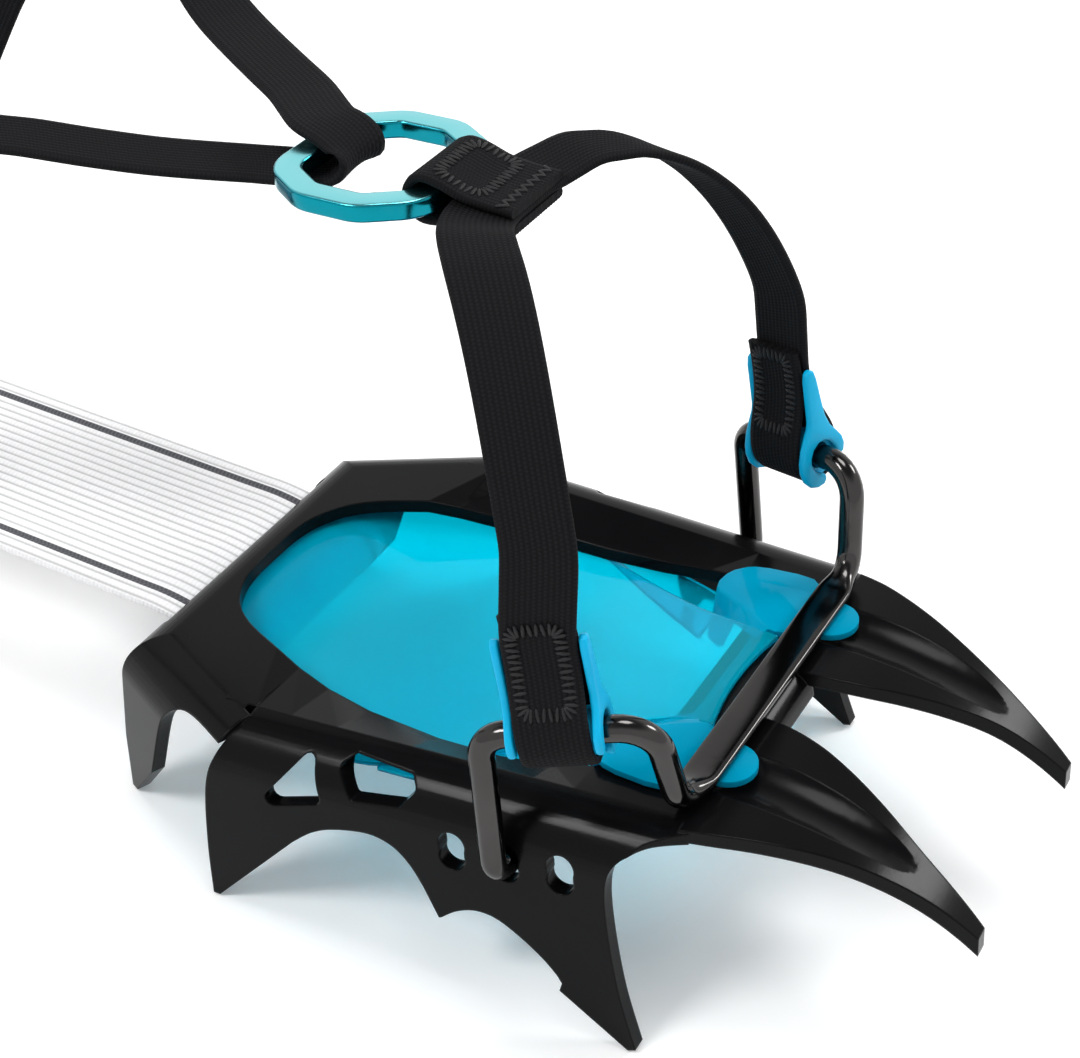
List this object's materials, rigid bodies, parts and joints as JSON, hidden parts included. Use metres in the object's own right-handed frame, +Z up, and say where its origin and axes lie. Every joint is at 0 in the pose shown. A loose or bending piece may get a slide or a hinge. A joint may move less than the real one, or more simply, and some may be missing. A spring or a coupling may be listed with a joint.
{
  "type": "mountaineering crampon",
  "caption": "Strap-on boot crampon: pointed front and heel frames joined by webbing, with a toe bail, instep straps, a ring, an ankle strap and a heel lever.",
  "frame": {"origin": "bottom centre of the bounding box, on the ground under the points", "axes": "+X toward the toe points, +Y toward the far side of the picture, +Z up"},
  "size_m": [0.3598, 0.103, 0.1392],
  "materials": {
    "frame_paint": "semi-gloss black paint on sheet steel",
    "blue_skin": "glossy, slightly see-through",
    "dark_wire": "dark polished wire",
    "blue_keeper": "glossy moulded",
    "black_webbing": "ribbed woven webbing",
    "white_webbing": "ribbed woven webbing with dark edge stripes",
    "teal_ring": "polished anodised",
    "black_plastic": "satin moulded",
    "steel": "plain steel"
  },
  "bodies": {
    "front": {"front_plate": "frame_paint", "front_antiball_plate": "blue_skin", "link_strap": "white_webbing", "link_front_pin": "steel", "ankle_strap": "black_webbing"},
    "bail": {"toe_bail": "dark_wire", "near_bail_keeper": "blue_keeper", "far_bail_keeper": "blue_keeper", "near_instep_strap": "black_webbing", "far_instep_strap": "black_webbing", "instep_ring_tab": "black_webbing"},
    "ring": {"instep_ring": "teal_ring"},
    "heel": {"heel_plate": "frame_paint", "heel_antiball_plate": "blue_skin", "cam_bracket": "steel", "cam_rivets": "steel", "cam_pin": "steel", "ankle_buckle": "black_plastic", "buckle_strap": "black_webbing", "tail_keeper": "black_webbing"},
    "cam": {"link_cam": "steel"},
    "heel_bail": {"heel_wire": "dark_wire"},
    "lever": {"heel_lever": "black_plastic"},
    "screw": {"adjuster_screw": "steel", "thumbwheel": "blue_keeper"},
    "claw": {"heel_claw": "steel"}
  },
  "joints": [
    {"name": "bail_hinge", "type": "hinge", "parent": "front", "child": "bail", "pos_m": [0.1086, 0, 0.03028], "axis": [0, -1, 0], "range_deg": [0, 40], "deforming": ["ankle_strap"]},
    {"name": "ring_hinge", "type": "hinge", "parent": "bail", "child": "ring", "pos_m": [0.07378, 0, 0.12165], "axis": [0, 1, 0], "range_deg": [-15, 15], "deforming": ["ankle_strap"]},
    {"name": "heel_slide", "type": "slide", "parent": "front", "child": "heel", "axis": [-1, 0, 0], "range_m": [-0.015, 0.02], "deforming": ["ankle_strap"]},
    {"name": "cam_hinge", "type": "hinge", "parent": "heel", "child": "cam", "pos_m": [-0.0877, 0, 0.02335], "axis": [0, -1, 0], "range_deg": [0, 50]},
    {"name": "heel_wire_hinge", "type": "hinge", "parent": "heel", "child": "heel_bail", "pos_m": [-0.1407, 0, 0.0236], "axis": [0, -1, 0], "range_deg": [-30, 45]},
    {"name": "lever_hinge", "type": "hinge", "parent": "heel_bail", "child": "lever", "pos_m": [-0.1697, 0, 0.0606], "axis": [0, -1, 0], "range_deg": [-15, 100]},
    {"name": "screw_turn", "type": "hinge", "parent": "lever", "child": "screw", "pos_m": [-0.1603, 0, 0.0858], "axis": [0, 0, 1], "range_deg": [-1080, 1080]},
    {"name": "claw_slide", "type": "slide", "parent": "lever", "child": "claw", "axis": [0, 0, 1], "range_m": [-0.0024, 0.0024]}
  ],
  "couplings": [
    {"joint": "screw_turn", "follows": "claw_slide", "rad_per_m": 7854}
  ]
}
